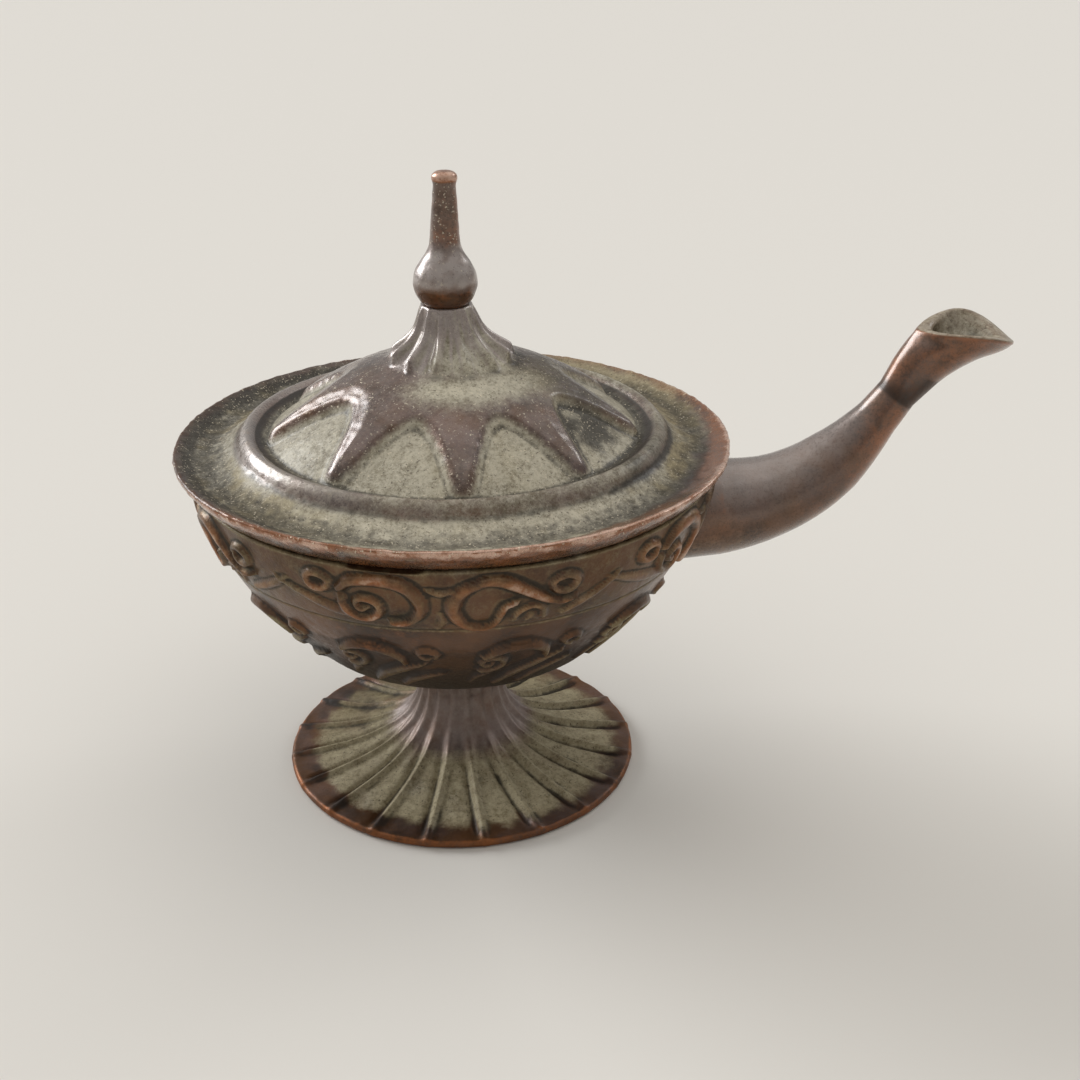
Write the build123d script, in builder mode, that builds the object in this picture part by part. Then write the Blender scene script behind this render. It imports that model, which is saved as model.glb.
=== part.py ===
from build123d import *
import math
import os

# Genie oil lamp, in millimetres.
# The origin is on the lamp's upright axis, on the surface that its foot stands on.
# +Z is up and the spout points along +X.

# Foot: a flared disc with radial ribs that sweeps up into a neck, hollow underneath
foot_radius = 25.5
foot_edge_height = 1.1
foot_neck_radius = 6.0
foot_neck_start = 12.0
foot_height = 19.0
foot_rest_width = 2.6
foot_hollow_radius = 4.3
foot_hollow_height = 10.0
rib_count = 20
rib_width = 0.6
rib_rise = 0.4
rib_depth = 0.5
rib_end_inset = 0.4
rib_top_height = 17.5
rib_first_angle = -84.0

# Shape of the flare: where its two inner control points lie between edge and neck
flare_out = 0.41
flare_in = 0.04
flare_low = 0.075
flare_high = 0.33

# Bowl: the oil reservoir, turned about the upright axis
bowl_rim_radius = 34.9
bowl_height = 27.6
bowl_wall = 1.6
bowl_waist_radius = 22.15
bowl_waist_rise = 4.5
bowl_floor_radius = 7.0

# Shape of the bowl's side: its control points as shares of its spread and depth
side_top_spread = 0.024
side_top_drop = 0.277
side_low_spread = 0.64
side_low_rise = 0.377
belly_run = 0.46
waist_inward = 0.73
waist_upward = 0.68
belly_inward = 0.5

# Scrollwork: raised strokes on the bowl's side, in an upper and a lower band of equal repeats
scroll_rise = 0.8
scroll_root = 0.5
scroll_reach = 6.0
scroll_spout_gap = 2.4
upper_repeats = 5
upper_first_angle = -94.0
lower_repeats = 10
lower_first_angle = -2.0

# One repeat's strokes: start, end, two points that pull the outer edge and two for the inner edge,
# each measured across from the repeat's middle and down the bowl's side from its rim
upper_strokes = [
    ((-12.3, 3.2), (-6.0, 8.1), (-8.5, -3.5), (6.5, 5.5), (-8.8, -1.2), (2.8, 5.2)),
    ((-11.2, 7.7), (-20.2, 4.5), (-14.0, 6.0), (-17.5, 4.9), (-13.5, 8.8), (-18.0, 6.6)),
    ((5.6, 1.4), (7.6, 7.0), (-2.2, 2.6), (0.2, 12.4), (0.2, 3.2), (2.0, 10.2)),
    ((3.4, 2.4), (17.0, 6.0), (7.0, -2.6), (11.8, 4.8), (6.5, -0.6), (11.5, 7.6)),
    ((15.4, 8.4), (20.6, 5.2), (17.0, 6.4), (19.0, 5.4), (17.8, 8.6), (20.0, 7.0)),
]
lower_strokes = [
    ((-5.8, 15.4), (3.2, 17.8), (-2.4, 11.2), (3.8, 12.6), (-2.2, 13.6), (2.4, 14.4)),
    ((-2.7, 24.8), (5.8, 17.3), (-1.4, 21.0), (2.6, 17.8), (0.8, 23.0), (4.4, 19.8)),
    ((0.6, 25.6), (7.6, 20.3), (2.0, 22.6), (5.0, 20.6), (3.4, 24.6), (6.6, 22.2)),
]

# Rings of one repeat: middle, half width and half height; a ring's eye is a share of it
upper_rings = [
    ((-14.9, 2.7), 2.0, 1.6),
    ((-9.1, 5.4), 2.7, 2.5),
    ((15.3, 3.0), 1.9, 1.6),
]
lower_rings = [
    ((-4.2, 18.6), 2.2, 2.1),
]
ring_eye = 0.5

# Spout: a tapering tube that leaves the bowl level and rises to a flared, open mouth
spout_root_drop = 8.1
spout_root_inset = 3.1
spout_root_tail = 8.0
spout_root_radius = 7.1
spout_neck_radius = 2.75
spout_neck_share = 0.8
spout_wall = 1.2
spout_lip_wall = 0.8
spout_lip_land = 3.0
spout_lead = (20.3, -0.85)
spout_bend = (25.1, 10.6)
spout_end = (34.4, 24.0)
throat_back = (-4.8, -0.9)
throat_front = (1.8, -4.8)
throat_half_width = 3.6
mouth_back = (-3.3, 1.55)
mouth_tip = (10.2, -0.75)
mouth_half_width = 6.0
spigot_radius = 4.6
spigot_bore_radius = 3.5
spigot_overlap = 7.0
solder_gap = 0.1
spout_sections = 8
bore_start = 4.7

# Lid: a dished deck, a bead, a dome of raised arms between panels, and a fluted cone
lid_overhang = 2.6
lid_seat_gap = 0.15
lid_seat_step = 0.2
lid_rim_rise = 3.6
lid_edge_height = 0.5
lid_edge_width = 0.6
trough_inset = 4.1
trough_drop = 1.2
bead_outer_inset = 8.1
bead_outer_rise = 3.9
bead_crest_inset = 9.8
bead_crest_rise = 5.75
bead_inner_inset = 11.3
bead_inner_rise = 5.3
dome_bulge_inset = 20.3
dome_bulge_rise = 11.25
dome_top_radius = 8.4
dome_top_rise = 14.45
cone_waist_radius = 4.4
cone_waist_rise = 17.2
cone_top_radius = 3.35
cone_top_rise = 21.9
lid_hollow_inset = 7.7
lid_hollow_step = 1.0
lid_hollow_neck_inset = 11.9
lid_hollow_neck_rise = 3.0
lid_ceiling_radius = 7.4
lid_ceiling_rise = 12.7

# Panels between the arms of the dome, and flutes around the cone
arm_count = 9
arm_first_angle = -89.2
panel_depth = 1.1
panel_edge_gap = 0.3
arm_tip_width = 1.9
panel_length = 10.5
panel_shoulder_run = 0.46
panel_shoulder_width = 0.7
panel_crown_width = 0.32
flute_count = 13
flute_width = 0.9
flute_depth = 0.4

# Skirt: the ring under the lid that finds the bowl's mouth
skirt_clearance = 1.0
skirt_wall = 1.2
skirt_depth = 3.2

# Finial: a ball that runs up into a thin rod with a burred head
ball_radius = 4.2
ball_seat_radius = 2.95
rod_base_radius = 1.95
rod_base_rise = 8.15
rod_top_radius = 1.45
rod_top_rise = 15.9
head_radius = 1.65
head_rise = 16.5
finial_height = 17.15
drop_pull = 2.3
drop_neck_radius = 2.2
drop_neck_rise = 5.95

# Fasteners: the finial's stud and the bolt through the bowl into the foot
thread_radius = 1.5
thread_gap = 0.05
hole_gap = 0.15
washer_radius = 3.4
washer_thickness = 0.5
nut_across_flats = 5.5
nut_thickness = 2.4
thread_end = 0.8
bolt_head_radius = 2.9
bolt_head_height = 1.9
slot_width = 0.8
slot_depth = 0.9
seal_radius = 4.2
seal_thickness = 0.8

# Heights and radii that follow from the sizes above
bowl_top = foot_height + bowl_height
waist_height = foot_height + bowl_waist_rise
bowl_spread = bowl_rim_radius - bowl_waist_radius
bowl_depth = bowl_top - waist_height
bowl_mouth_radius = bowl_rim_radius - bowl_wall
bowl_floor_top = foot_height + bowl_wall
seal_top = bowl_floor_top + seal_thickness
lid_seat = bowl_top + lid_seat_gap
lid_radius = bowl_rim_radius + lid_overhang
lid_rim_top = lid_seat + lid_rim_rise
trough_radius = lid_radius - trough_inset
bead_outer_radius = lid_radius - bead_outer_inset
bead_crest_radius = lid_radius - bead_crest_inset
bead_inner_radius = lid_radius - bead_inner_inset
dome_bulge_radius = lid_radius - dome_bulge_inset
lid_hollow_radius = lid_radius - lid_hollow_inset
lid_hollow_neck_radius = lid_radius - lid_hollow_neck_inset
panel_outer_radius = bead_inner_radius - panel_edge_gap
panel_half_angle = math.pi / arm_count - math.asin(arm_tip_width / 2 / panel_outer_radius)
lid_ceiling = lid_seat + lid_ceiling_rise
cone_top = lid_seat + cone_top_rise
ball_center = cone_top + (ball_radius**2 - ball_seat_radius**2) ** 0.5
hole_radius = thread_radius + hole_gap
nut_hole_radius = thread_radius + thread_gap


def upright_plane(angle):
    """The plane through the upright axis whose local X points out at an angle about it."""
    return Plane.XZ.rotated((0, 0, angle))


def flare_points(edge_radius, edge_height, neck_radius, neck_height):
    """Control points of the sweep from the foot's edge up into its neck."""
    reach = edge_radius - neck_radius
    rise = neck_height - edge_height
    return [
        (edge_radius, edge_height),
        (neck_radius + flare_out * reach, edge_height + flare_low * rise),
        (neck_radius + flare_in * reach, edge_height + flare_high * rise),
        (neck_radius, neck_height),
    ]


def side_points(inset):
    """Control points of the bowl's side, inset from its outer face, from the rim down to the waist."""
    waist_r = bowl_waist_radius - waist_inward * inset
    waist_z = waist_height + waist_upward * inset
    return [
        (bowl_rim_radius - inset, bowl_top),
        (bowl_rim_radius - side_top_spread * bowl_spread - inset, bowl_top - side_top_drop * bowl_depth),
        (waist_r + side_low_spread * bowl_spread, waist_z + side_low_rise * bowl_depth),
        (waist_r, waist_z),
    ]


def bowl_outline(inset):
    """Half outline of the bowl, inset from its outer face, from the rim down to the axis."""
    side = Bezier(*side_points(inset))
    belly_radius = bowl_waist_radius - belly_run * side_low_spread * bowl_spread - belly_inward * inset
    belly_height = waist_height - belly_run * side_low_rise * bowl_depth + inset
    floor_point = (bowl_floor_radius, foot_height + inset)
    Bezier(side @ 1, (belly_radius, belly_height), floor_point)
    Polyline(floor_point, (0, foot_height + inset), (0, bowl_top), side @ 0)


def washer(outer_radius, inner_radius, thickness, bottom):
    """A flat ring about the upright axis."""
    with BuildPart() as ring:
        with BuildSketch(Plane.XY.offset(bottom)):
            Circle(outer_radius)
            Circle(inner_radius, mode=Mode.SUBTRACT)
        extrude(amount=thickness)
    return ring


def hex_nut(bottom):
    """A hexagon nut about the upright axis."""
    with BuildPart() as nut:
        with BuildSketch(Plane.XY.offset(bottom)):
            RegularPolygon(nut_across_flats / 2, 6, major_radius=False)
            Circle(nut_hole_radius, mode=Mode.SUBTRACT)
        extrude(amount=nut_thickness)
    return nut


# One rib of the foot, lying along +X and following the flare
with BuildPart() as rib:
    with BuildSketch(Plane.XZ):
        with BuildLine():
            crest = Bezier(
                *flare_points(
                    foot_radius - rib_end_inset,
                    foot_edge_height + rib_rise,
                    foot_neck_radius + rib_rise,
                    foot_neck_start,
                )
            )
            root = Bezier(
                *flare_points(
                    foot_radius - rib_end_inset,
                    foot_edge_height - rib_depth,
                    foot_neck_radius - rib_depth,
                    foot_neck_start,
                )
            )
            Line(crest @ 0, root @ 0)
            Polyline(
                crest @ 1,
                (foot_neck_radius, rib_top_height),
                (foot_neck_radius - rib_depth, rib_top_height),
                root @ 1,
            )
        make_face()
    extrude(amount=rib_width / 2, both=True)

# Foot, with its ribs, its hollow and the hole for the bolt
with BuildPart() as foot:
    with BuildSketch(Plane.XZ):
        with BuildLine():
            sweep_up = Bezier(
                *flare_points(foot_radius, foot_edge_height, foot_neck_radius, foot_neck_start)
            )
            Polyline(
                sweep_up @ 1,
                (foot_neck_radius, foot_height),
                (0, foot_height),
                (0, 0),
                (foot_radius, 0),
                sweep_up @ 0,
            )
        make_face()
    revolve(axis=Axis.Z)
    with PolarLocations(0, rib_count, start_angle=rib_first_angle):
        add(rib.part)
    with BuildSketch(Plane.XZ):
        with BuildLine():
            under = Bezier(
                *flare_points(foot_radius - foot_rest_width, 0, foot_hollow_radius, foot_hollow_height)
            )
            Polyline(under @ 1, (0, foot_hollow_height), (0, 0), under @ 0)
        make_face()
    revolve(axis=Axis.Z, mode=Mode.SUBTRACT)
    with Locations((0, 0, foot_height)):
        Hole(hole_radius)

# The bowl's outer shape as a solid, a little large, to trim the spout's root
with BuildPart() as bowl_envelope:
    with BuildSketch(Plane.XZ):
        with BuildLine():
            bowl_outline(-solder_gap)
        make_face()
    revolve(axis=Axis.Z)

# The space inside the bowl
with BuildPart() as bowl_space:
    with BuildSketch(Plane.XZ):
        with BuildLine():
            bowl_outline(bowl_wall)
        make_face()
    revolve(axis=Axis.Z)

# Planes of the spout: its root, its path and its mouth
spout_root = Vector(bowl_rim_radius - spout_root_inset, 0, bowl_top - spout_root_drop)
spout_root_plane = Plane(origin=spout_root, x_dir=(0, 0, 1), z_dir=(1, 0, 0))


def from_root(offset):
    """A point in the lamp's middle plane, given from the spout's root."""
    return spout_root + Vector(offset[0], 0, offset[1])


def from_end(offset):
    """A point in the lamp's middle plane, given from the end of the spout's path."""
    return from_root(spout_end) + Vector(offset[0], 0, offset[1])


def cross_section(back, front, half_width, back_wall, front_wall):
    """An oval across the spout from its back edge to its front edge, inside its walls there."""
    across = from_end(back) - from_end(front)
    half_length = (across.length - back_wall - front_wall) / 2
    middle = from_end(front) + across.normalized() * (front_wall + half_length)
    with BuildSketch(Plane(origin=middle, x_dir=across, z_dir=Vector(0, 1, 0).cross(across))) as oval:
        Ellipse(half_length, half_width - back_wall)
    return oval.sketch


with BuildLine():
    spout_path = Bezier(
        spout_root,
        from_root(spout_lead),
        from_root(spout_bend),
        from_root(spout_end),
    )


def path_plane(share):
    """The plane square to the spout's path at a share of its length."""
    along = spout_path % share
    return Plane(origin=spout_path @ share, x_dir=Vector(0, 1, 0).cross(along) * -1, z_dir=along)


def spout_loft(wall, lip_wall, lip_land, start):
    """The spout's form from a distance along its path to its mouth, inset by its walls."""
    first_share = start / spout_path.length
    with BuildPart() as form:
        for step in range(spout_sections + 1):
            share = first_share + (spout_neck_share - first_share) * step / spout_sections
            taper = (spout_neck_radius - spout_root_radius) * share / spout_neck_share
            with BuildSketch(path_plane(share)):
                Circle(spout_root_radius + taper - wall)
        add(cross_section(throat_back, throat_front, throat_half_width, wall, wall))
        add(cross_section(mouth_back, mouth_tip, mouth_half_width, lip_wall, lip_land))
        loft()
    return form


spout_skin = spout_loft(0, 0, 0, 0)
spout_bore = spout_loft(spout_wall, spout_lip_wall, spout_lip_land, bore_start)

# Spigot: the tube at the spout's root that passes through the bowl's wall
with BuildPart() as spigot:
    with BuildSketch(spout_root_plane.offset(-spout_root_tail)):
        Circle(spigot_radius)
    extrude(amount=spout_root_tail + spigot_overlap)
    add(bowl_space.part, mode=Mode.SUBTRACT)

# Spout, trimmed to the bowl and bored from the spigot to the mouth
with BuildPart() as spout:
    add(spout_skin.part)
    with BuildSketch(path_plane(0)):
        Circle(spout_root_radius)
    extrude(amount=-spout_root_tail)
    add(bowl_envelope.part, mode=Mode.SUBTRACT)
    add(spigot.part)
    add(spout_bore.part, mode=Mode.SUBTRACT)
    with BuildSketch(spout_root_plane.offset(-spout_root_tail)):
        Circle(spigot_bore_radius)
    extrude(amount=spout_root_tail + spigot_overlap, mode=Mode.SUBTRACT)

# The layer on the bowl's side that its scrollwork fills
with BuildPart() as scroll_layer:
    with BuildSketch(Plane.XZ):
        with BuildLine():
            bowl_outline(-scroll_rise)
        make_face()
        with BuildLine():
            bowl_outline(scroll_root)
        make_face(mode=Mode.SUBTRACT)
    revolve(axis=Axis.Z)

with BuildLine(Plane.XZ):
    bowl_side = Bezier(*side_points(0))


def side_plane(across, drop, first_angle):
    """The plane that touches the bowl's side at a place in a band's repeat; its Y points to the rim."""
    place = bowl_side @ (drop / bowl_side.length)
    down = bowl_side % (drop / bowl_side.length)
    angle = first_angle + math.degrees(across / place.X)
    return Plane(
        origin=place.rotate(Axis.Z, angle),
        x_dir=Vector(0, 1, 0).rotate(Axis.Z, angle),
        z_dir=Vector(-down.Z, 0, down.X).rotate(Axis.Z, angle),
    )


def scroll_band(strokes, rings, first_angle):
    """One repeat of a band of scrollwork, as deep as the layer on the bowl's side."""
    with BuildPart() as band:
        for points in strokes:
            middle = [(one + other) / 2 for one, other in zip(points[0], points[1])]
            start, end, *pulls = [(across - middle[0], middle[1] - drop) for across, drop in points]
            with BuildSketch(side_plane(*middle, first_angle)):
                with BuildLine():
                    Bezier(start, pulls[0], pulls[1], end)
                    Bezier(start, pulls[2], pulls[3], end)
                make_face()
            extrude(amount=scroll_reach, both=True)
        for middle, half_width, half_height in rings:
            with BuildSketch(side_plane(*middle, first_angle)):
                Ellipse(half_width, half_height)
                Ellipse(half_width * ring_eye, half_height * ring_eye, mode=Mode.SUBTRACT)
            extrude(amount=scroll_reach, both=True)
        add(scroll_layer.part, mode=Mode.INTERSECT)
    return band


# Scrollwork around the bowl, kept clear of the spout
upper_band = scroll_band(upper_strokes, upper_rings, upper_first_angle)
lower_band = scroll_band(lower_strokes, lower_rings, lower_first_angle)
with BuildPart() as scrollwork:
    with PolarLocations(0, upper_repeats):
        add(upper_band.part)
    with PolarLocations(0, lower_repeats):
        add(lower_band.part)
    with BuildSketch(spout_root_plane.offset(-spout_root_tail)):
        Circle(spout_root_radius + scroll_spout_gap)
    extrude(amount=2 * spout_root_tail, mode=Mode.SUBTRACT)

# Bowl, with the port for the spigot and the hole for the bolt
with BuildPart() as bowl:
    with BuildSketch(Plane.XZ):
        with BuildLine():
            bowl_outline(0)
        make_face()
    revolve(axis=Axis.Z)
    add(scrollwork.part)
    add(bowl_space.part, mode=Mode.SUBTRACT)
    with BuildSketch(spout_root_plane.offset(-spout_root_tail)):
        Circle(spigot_radius + solder_gap)
    extrude(amount=spout_root_tail + spigot_overlap, mode=Mode.SUBTRACT)
    with Locations((0, 0, bowl_floor_top)):
        Hole(hole_radius)

# One panel's recess, lying along +X: an arch in plan, with its floor under the dome's face
corner_run = panel_outer_radius * math.cos(panel_half_angle)
corner_width = panel_outer_radius * math.sin(panel_half_angle)
panel_apex = panel_outer_radius - panel_length
arch_length = corner_run - panel_apex
with BuildPart() as panel_recess:
    with BuildSketch(upright_plane(180)):
        with BuildLine():
            panel_floor = Bezier(
                (bead_inner_radius, lid_seat + bead_inner_rise - panel_depth),
                (dome_bulge_radius, lid_seat + dome_bulge_rise - panel_depth),
                (dome_top_radius, lid_seat + dome_top_rise - panel_depth),
            )
            Polyline(
                panel_floor @ 1,
                (dome_top_radius, cone_top),
                (bead_inner_radius, cone_top),
                panel_floor @ 0,
            )
        make_face()
    revolve(axis=Axis.Z)
    with BuildSketch(Plane.XY.offset(lid_seat)):
        with BuildLine():
            arch_side = Bezier(
                (corner_run, corner_width),
                (corner_run - panel_shoulder_run * arch_length, panel_shoulder_width * corner_width),
                (panel_apex, panel_crown_width * corner_width),
                (panel_apex, 0),
            )
            mirror(arch_side, about=Plane.XZ)
            ThreePointArc(arch_side @ 0, (panel_outer_radius, 0), (corner_run, -corner_width))
        make_face()
    extrude(amount=cone_top_rise, mode=Mode.INTERSECT)

# One flute of the cone, lying along +X: a groove that follows the cone's side
with BuildPart() as flute:
    with BuildSketch(Plane.XZ):
        with BuildLine():
            flute_floor = Bezier(
                (dome_top_radius - flute_depth, lid_seat + dome_top_rise),
                (cone_waist_radius - flute_depth, lid_seat + cone_waist_rise),
                (cone_top_radius - flute_depth, cone_top),
            )
            Polyline(
                flute_floor @ 1,
                (dome_top_radius, cone_top),
                (dome_top_radius, lid_seat + dome_top_rise),
                flute_floor @ 0,
            )
        make_face()
    extrude(amount=flute_width / 2, both=True)

# Lid, turned about the upright axis and then carved
with BuildPart() as lid:
    with BuildSketch(upright_plane(arm_first_angle)):
        with BuildLine():
            rim = Polyline(
                (0, lid_seat),
                (bowl_rim_radius - lid_seat_step, lid_seat),
                (lid_radius, lid_rim_top - lid_edge_height),
                (lid_radius, lid_rim_top),
                (lid_radius - lid_edge_width, lid_rim_top),
                (trough_radius, lid_rim_top - trough_drop),
                (bead_outer_radius, lid_seat + bead_outer_rise),
            )
            bead = ThreePointArc(
                rim @ 1,
                (bead_crest_radius, lid_seat + bead_crest_rise),
                (bead_inner_radius, lid_seat + bead_inner_rise),
            )
            dome = Bezier(
                bead @ 1,
                (dome_bulge_radius, lid_seat + dome_bulge_rise),
                (dome_top_radius, lid_seat + dome_top_rise),
            )
            cone = Bezier(
                dome @ 1,
                (cone_waist_radius, lid_seat + cone_waist_rise),
                (cone_top_radius, cone_top),
            )
            Polyline(cone @ 1, (0, cone_top), (0, lid_seat))
        make_face()
    revolve(axis=Axis.Z)
    with PolarLocations(0, arm_count, start_angle=arm_first_angle + 180 / arm_count):
        add(panel_recess.part, mode=Mode.SUBTRACT)
    with PolarLocations(0, flute_count):
        add(flute.part, mode=Mode.SUBTRACT)
    with BuildSketch(Plane.XZ):
        with BuildLine():
            Polyline(
                (0, lid_seat),
                (lid_hollow_radius, lid_seat),
                (lid_hollow_radius, lid_seat + lid_hollow_step),
                (lid_hollow_neck_radius, lid_seat + lid_hollow_neck_rise),
                (lid_ceiling_radius, lid_ceiling),
                (0, lid_ceiling),
                close=True,
            )
        make_face()
    revolve(axis=Axis.Z, mode=Mode.SUBTRACT)
    with Locations((0, 0, cone_top)):
        Hole(hole_radius)

# Skirt ring, soldered flat against the underside of the lid
skirt_radius = bowl_mouth_radius - skirt_clearance
lid_skirt = washer(skirt_radius, skirt_radius - skirt_wall, skirt_depth, lid_seat - skirt_depth)

# Finial with its stud, turned about the upright axis
finial_nut_bottom = lid_ceiling - washer_thickness - nut_thickness
with BuildPart() as finial:
    with BuildSketch(Plane.XZ):
        with BuildLine():
            ball = RadiusArc((ball_seat_radius, cone_top), (ball_radius, ball_center), -ball_radius)
            drop = Bezier(
                ball @ 1,
                (ball_radius, ball_center + drop_pull),
                (drop_neck_radius, cone_top + drop_neck_rise),
                (rod_base_radius, cone_top + rod_base_rise),
            )
            Line(drop @ 1, (rod_top_radius, cone_top + rod_top_rise))
            Line((rod_top_radius, cone_top + rod_top_rise), (head_radius, cone_top + head_rise))
            Bezier(
                (head_radius, cone_top + head_rise),
                (head_radius, cone_top + finial_height),
                (0, cone_top + finial_height),
            )
            Polyline(
                (0, cone_top + finial_height),
                (0, finial_nut_bottom - thread_end),
                (thread_radius, finial_nut_bottom - thread_end),
                (thread_radius, cone_top),
                ball @ 0,
            )
        make_face()
    revolve(axis=Axis.Z)

# Washer and nut that hold the finial, under the lid's ceiling
finial_washer = washer(washer_radius, hole_radius, washer_thickness, lid_ceiling - washer_thickness)
finial_nut = hex_nut(finial_nut_bottom)

# Bolt that holds the bowl to the foot: a slotted round head on the seal, and a long shank
stem_nut_bottom = foot_hollow_height - washer_thickness - nut_thickness
with BuildPart() as stem_bolt:
    with BuildSketch(Plane.XY.offset(stem_nut_bottom - thread_end)):
        Circle(thread_radius)
    extrude(amount=seal_top - stem_nut_bottom + thread_end)
    with BuildSketch(Plane.XY.offset(seal_top)):
        Circle(bolt_head_radius)
    extrude(amount=bolt_head_height)
    with BuildSketch(Plane.XY.offset(seal_top + bolt_head_height)):
        Rectangle(bolt_head_radius * 2, slot_width)
    extrude(amount=-slot_depth, mode=Mode.SUBTRACT)

# Seal under the bolt's head, and the washer and nut inside the foot
seal_washer = washer(seal_radius, hole_radius, seal_thickness, bowl_floor_top)
stem_washer = washer(washer_radius, hole_radius, washer_thickness, foot_hollow_height - washer_thickness)
stem_nut = hex_nut(stem_nut_bottom)

pieces = {
    "foot": foot,
    "bowl": bowl,
    "spout": spout,
    "stem_bolt": stem_bolt,
    "seal_washer": seal_washer,
    "stem_washer": stem_washer,
    "stem_nut": stem_nut,
    "lid": lid,
    "lid_skirt": lid_skirt,
    "finial": finial,
    "finial_washer": finial_washer,
    "finial_nut": finial_nut,
}

os.makedirs("parts", exist_ok=True)
for name, piece in pieces.items():
    piece.part.label = name
    export_step(piece.part, f"parts/{name}.step")
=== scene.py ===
import math

import bpy
import numpy as np
from mathutils import Matrix, Vector, noise


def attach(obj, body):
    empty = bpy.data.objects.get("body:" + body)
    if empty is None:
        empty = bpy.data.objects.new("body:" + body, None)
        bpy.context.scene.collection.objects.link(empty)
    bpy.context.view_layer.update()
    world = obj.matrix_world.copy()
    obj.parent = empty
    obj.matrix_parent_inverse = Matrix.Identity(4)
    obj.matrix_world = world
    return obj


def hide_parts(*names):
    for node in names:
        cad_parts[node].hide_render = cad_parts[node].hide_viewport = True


# Genie oil lamp: a finer foot, bowl, spout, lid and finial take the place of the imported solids.
# Shapes are worked out in millimetres, with angles in degrees about the upright axis.

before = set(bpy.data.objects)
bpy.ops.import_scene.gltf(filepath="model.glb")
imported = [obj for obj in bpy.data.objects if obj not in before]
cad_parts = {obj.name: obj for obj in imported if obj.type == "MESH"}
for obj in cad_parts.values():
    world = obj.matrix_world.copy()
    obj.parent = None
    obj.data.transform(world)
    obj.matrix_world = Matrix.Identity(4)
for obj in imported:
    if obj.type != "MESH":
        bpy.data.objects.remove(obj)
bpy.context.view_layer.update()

MM = 0.001


# Curves and rings of points

def bezier(*points, count):
    """Points along a Bezier curve of any degree."""
    share = np.linspace(0, 1, count)[:, None]
    curve = [np.tile(np.array(point, float), (count, 1)) for point in points]
    while len(curve) > 1:
        curve = [a + (b - a) * share for a, b in zip(curve, curve[1:])]
    return curve[0]


def spline(points, count):
    """Points along a smooth curve through the given points."""
    points = np.array(points, float)
    ends = np.vstack([2 * points[0] - points[1], points, 2 * points[-1] - points[-2]])
    place = np.linspace(0, len(points) - 1, count)
    first = np.minimum(place.astype(int), len(points) - 2)
    t = (place - first)[:, None]
    a, b, c, d = (ends[first + k] for k in range(4))
    return 0.5 * (2 * b + (c - a) * t + (2 * a - 5 * b + 4 * c - d) * t**2 + (3 * b - a - 3 * c + d) * t**3)


def lengths(line):
    """Distance along a line of points, from its first."""
    return np.concatenate([[0], np.cumsum(np.linalg.norm(np.diff(line, axis=0), axis=1))])


def resample(line, places):
    """Points at given distances along a line."""
    along = lengths(line)
    return np.stack([np.interp(places, along, line[:, k]) for k in range(line.shape[1])], axis=1)


def even(line, step):
    """The line with its points about a step apart."""
    length = lengths(line)[-1]
    return resample(line, np.linspace(0, length, max(2, round(length / step) + 1)))


def ease(low, high, value):
    """0 at low, 1 at high, smooth between them and level beyond; low may be the larger."""
    t = np.clip((value - low) / (high - low), 0, 1)
    return t * t * (3 - 2 * t)


def bump(value, width):
    """A smooth hump, 1 at 0 and nearly 0 at twice its width."""
    return np.exp(-((value / width) ** 2))


def turn(angle):
    """An angle, or angles, brought between -180 and 180 degrees."""
    return (angle + 180) % 360 - 180


def angles(count):
    """Evenly spaced angles around the upright axis."""
    return np.arange(count) * 360 / count


def repeat_turn(angle, middle, repeats):
    """Angles from the middle of the nearest of a number of repeats around the axis, in degrees."""
    wide = 360 / repeats
    return (angle - middle + wide / 2) % wide - wide / 2


def ring(radius, height, count):
    """A ring of points about the upright axis; radius and height may vary around it."""
    around = np.radians(angles(count))
    radius = np.broadcast_to(radius, count)
    height = np.broadcast_to(height, count)
    return np.stack([radius * np.cos(around), radius * np.sin(around), height], axis=1)


def normals_of(profile):
    """Unit normals of a profile, to the left of its direction."""
    along = np.gradient(profile, axis=0)
    along /= np.linalg.norm(along, axis=1)[:, None]
    return np.stack([-along[:, 1], along[:, 0]], axis=1)


def rough(points, size, seed):
    """Smooth random values from about -1 to 1, with features of a size in millimetres."""
    start = Vector((seed * 17.3, seed * 9.1, seed * 5.7))
    return np.array([noise.noise(Vector(point) / size + start) for point in points.tolist()])


# Meshes

def ring_faces(counts, closed):
    """Faces between rings of points; a ring may have half or twice as many points as the next.
    Closed rings go on from the last to the first, and others get a cap at each end."""
    starts = np.concatenate([[0], np.cumsum(counts)])
    pairs = [(k, k + 1) for k in range(len(counts) - 1)]
    if closed:
        pairs.append((len(counts) - 1, 0))
    faces = []
    for one, two in pairs:
        n_one, n_two = counts[one], counts[two]
        k = np.arange(min(n_one, n_two))
        a, b = starts[one], starts[two]
        if n_one == n_two:
            corners = [a + k, a + (k + 1) % n_one, b + (k + 1) % n_two, b + k]
        elif n_one > n_two:
            corners = [a + 2 * k, a + 2 * k + 1, a + (2 * k + 2) % n_one, b + (k + 1) % n_two, b + k]
        else:
            corners = [a + k, a + (k + 1) % n_one, b + (2 * k + 2) % n_two, b + 2 * k + 1, b + 2 * k]
        faces.extend(np.stack(corners, axis=1).tolist())
    if not closed:
        faces.append(list(range(starts[0], starts[1])))
        faces.append(list(range(starts[-2], starts[-1])))
    return faces


def points_of(mesh, value="co"):
    """The places of a mesh's points, in metres, or another vector stored on them."""
    flat = np.empty(len(mesh.vertices) * 3)
    mesh.vertices.foreach_get(value, flat)
    return flat.reshape(-1, 3)


def move_points(mesh, points):
    """Puts a mesh's points at new places, in metres."""
    mesh.vertices.foreach_set("co", points.ravel())
    mesh.update()


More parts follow.
